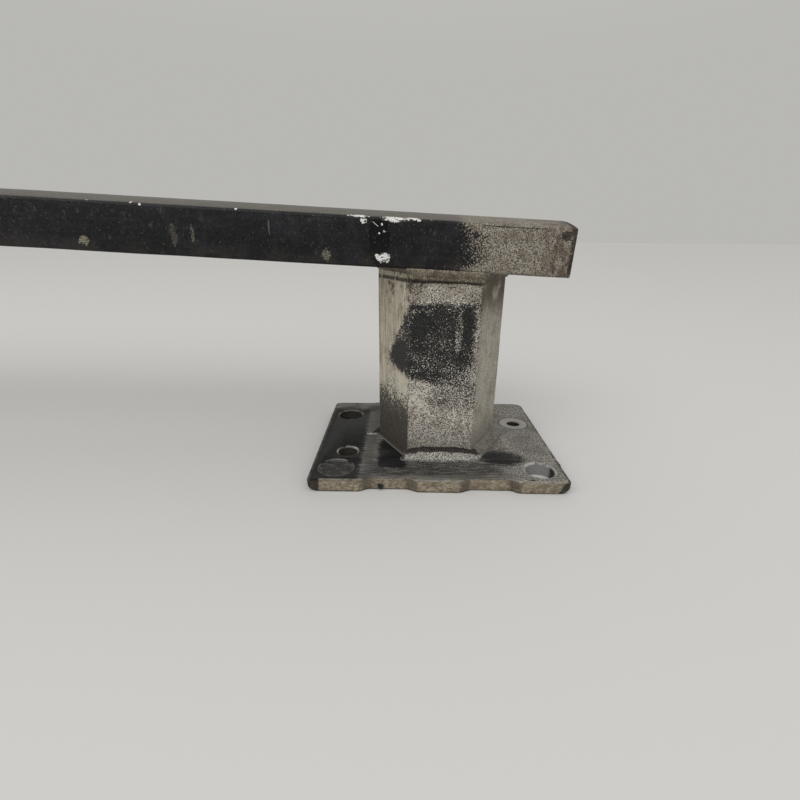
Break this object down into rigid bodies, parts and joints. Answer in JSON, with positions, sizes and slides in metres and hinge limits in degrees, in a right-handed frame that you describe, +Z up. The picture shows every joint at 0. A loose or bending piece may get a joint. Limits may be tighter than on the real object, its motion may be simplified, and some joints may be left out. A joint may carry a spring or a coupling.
{
  "type": "bumper reinforcement beam",
  "caption": "Bowed hollow aluminium cross beam welded to a hexagonal crash can and a bolt-on mounting plate at each end.",
  "frame": {"origin": "midway between the two mounting plates, on the plane that they stand on", "axes": "+X along the beam, +Y from the front face of the beam to its back face, +Z up from the mounting plates to the beam's crowned face"},
  "size_m": [1.138, 0.1386, 0.1858],
  "materials": {
    "beam_paint": "thin satin black paint, worn through to bare aluminium over each can and out to the beam's end",
    "can_metal": "dull oxidised aluminium, stained, with patches of leftover black paint",
    "plate_metal": "worn dark paint over aluminium, bare on the cut edges and around the holes",
    "weld_metal": "rough rippled weld metal with soot and spatter",
    "plug_metal": "rough dark filled surface"
  },
  "bodies": {
    "root": {"beam": "beam_paint", "mount_plate_right": "plate_metal", "hole_plug_right": "plug_metal", "crash_can_right": "can_metal", "plate_weld_front_right": "weld_metal", "plate_weld_outer_front_right": "weld_metal", "plate_weld_outer_back_right": "weld_metal", "plate_weld_back_right": "weld_metal", "plate_weld_inner_back_right": "weld_metal", "plate_weld_inner_front_right": "weld_metal", "beam_weld_front_right": "weld_metal", "beam_weld_outer_front_right": "weld_metal", "beam_weld_outer_back_right": "weld_metal", "beam_weld_back_right": "weld_metal", "beam_weld_inner_back_right": "weld_metal", "beam_weld_inner_front_right": "weld_metal", "mount_plate_left": "plate_metal", "hole_plug_left": "plug_metal", "crash_can_left": "can_metal", "plate_weld_front_left": "weld_metal", "plate_weld_outer_front_left": "weld_metal", "plate_weld_outer_back_left": "weld_metal", "plate_weld_back_left": "weld_metal", "plate_weld_inner_back_left": "weld_metal", "plate_weld_inner_front_left": "weld_metal", "beam_weld_front_left": "weld_metal", "beam_weld_outer_front_left": "weld_metal", "beam_weld_outer_back_left": "weld_metal", "beam_weld_back_left": "weld_metal", "beam_weld_inner_back_left": "weld_metal", "beam_weld_inner_front_left": "weld_metal"}
  },
  "joints": []
}
